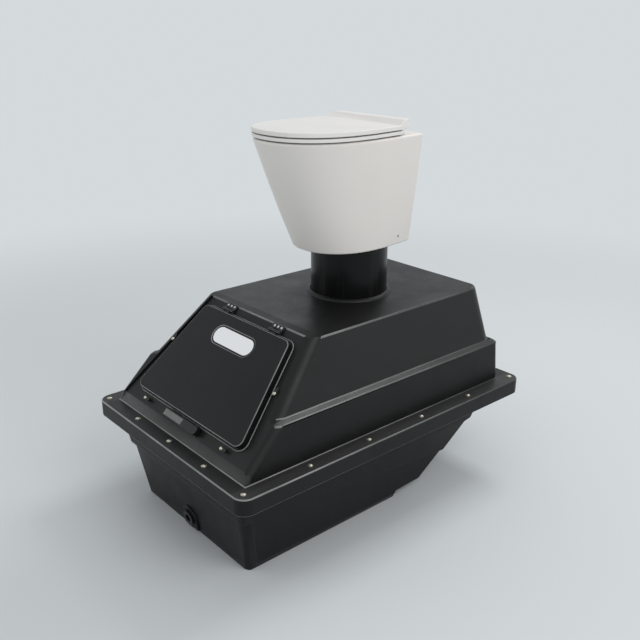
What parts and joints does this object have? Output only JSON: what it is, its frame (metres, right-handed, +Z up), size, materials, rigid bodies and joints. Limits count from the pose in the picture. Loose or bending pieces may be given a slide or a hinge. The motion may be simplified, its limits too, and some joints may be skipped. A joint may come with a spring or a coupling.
{
  "type": "composting toilet",
  "caption": "Waterless composting toilet: two-part black tank with a sloping hinged hatch, a chute pipe and a white pan with seat and lid.",
  "frame": {"origin": "on the floor under the middle of the bolted flange", "axes": "+Z up; -Y towards the side that the emptying hatch faces; +X to the right of someone who looks at the hatch"},
  "size_m": [0.8, 1.184, 1.205],
  "materials": {
    "black_polyethylene": "satin moulded black with a faint grain",
    "black_door": "satin moulded black",
    "black_pipe": "smooth glossy black",
    "black_rubber": "plain black rubber",
    "black_fittings": "black moulded fittings",
    "grey_grate": "plain grey",
    "zinc_screws": "pale zinc",
    "steel": "plain bright steel",
    "white_screws": "white heads",
    "latch_facing": "brushed pale metal",
    "label_white": "bare white, no lettering",
    "ceramic": "warm white glazed vitreous china, opaque",
    "white_plastic": "white satin thermoset",
    "buffer_rubber": "pale soft buffers",
    "hinge_metal": "bright hinge metal"
  },
  "bodies": {
    "tank": {"lower_tank": "black_polyethylene", "tank_cover": "black_polyethylene", "flange_gasket": "black_rubber", "flange_screws": "zinc_screws", "flange_washers": "zinc_screws", "flange_nuts": "steel", "drain_outlet": "black_fittings", "drain_nut": "black_fittings", "drain_seal": "black_rubber", "drain_grate": "grey_grate", "hatch_seal": "black_rubber", "hinge_frame_leaves": "black_fittings", "hinge_pins": "steel", "hinge_screws": "white_screws", "latch_base": "black_fittings", "latch_pin": "steel", "catch_screws": "zinc_screws", "chute_pipe": "black_pipe", "pipe_seal": "black_rubber", "ceramic_pan": "ceramic", "pan_seal": "black_rubber", "pan_brackets": "steel", "pan_side_screws": "steel", "seat_posts": "hinge_metal", "seat_pins": "hinge_metal", "seat_bolts": "steel", "seat_nuts": "white_plastic"},
    "hatch": {"hatch_door": "black_door", "hinge_door_leaves": "black_fittings", "label_plate": "label_white"},
    "latch": {"latch_lever": "black_fittings", "latch_plate": "latch_facing"},
    "turn_low_left": {"catch_low_left": "black_fittings"},
    "turn_low_right": {"catch_low_right": "black_fittings"},
    "turn_side_left": {"catch_side_left": "black_fittings"},
    "turn_side_right": {"catch_side_right": "black_fittings"},
    "seat": {"seat_ring": "white_plastic", "seat_buffers": "buffer_rubber"},
    "lid": {"seat_lid": "white_plastic", "lid_buffers": "buffer_rubber"}
  },
  "joints": [
    {"name": "hatch_hinge", "type": "hinge", "parent": "tank", "child": "hatch", "pos_m": [0, -0.2593, 0.63363], "axis": [-1, 0, 0], "range_deg": [0, 120]},
    {"name": "latch_hinge", "type": "hinge", "parent": "tank", "child": "latch", "pos_m": [0, -0.52258, 0.3694], "axis": [1, 0, 0], "range_deg": [0, 80]},
    {"name": "catch_low_left_turn", "type": "hinge", "parent": "tank", "child": "turn_low_left", "pos_m": [-0.208, -0.51903, 0.37859], "axis": [0, -0.7065, 0.7077], "range_deg": [0, 90]},
    {"name": "catch_low_right_turn", "type": "hinge", "parent": "tank", "child": "turn_low_right", "pos_m": [0.208, -0.51903, 0.37859], "axis": [0, -0.7065, 0.7077], "range_deg": [0, 90]},
    {"name": "catch_side_left_turn", "type": "hinge", "parent": "tank", "child": "turn_side_left", "pos_m": [-0.265, -0.37607, 0.5213], "axis": [0, 0.7065, -0.7077], "range_deg": [0, 90]},
    {"name": "catch_side_right_turn", "type": "hinge", "parent": "tank", "child": "turn_side_right", "pos_m": [0.265, -0.37607, 0.5213], "axis": [0, -0.7065, 0.7077], "range_deg": [0, 90]},
    {"name": "seat_hinge", "type": "hinge", "parent": "tank", "child": "seat", "pos_m": [0, 0.226, 1.186], "axis": [-1, 0, 0], "range_deg": [0, 95]},
    {"name": "lid_hinge", "type": "hinge", "parent": "seat", "child": "lid", "pos_m": [0, 0.226, 1.186], "axis": [1, 0, 0], "range_deg": [-95, 0]}
  ]
}
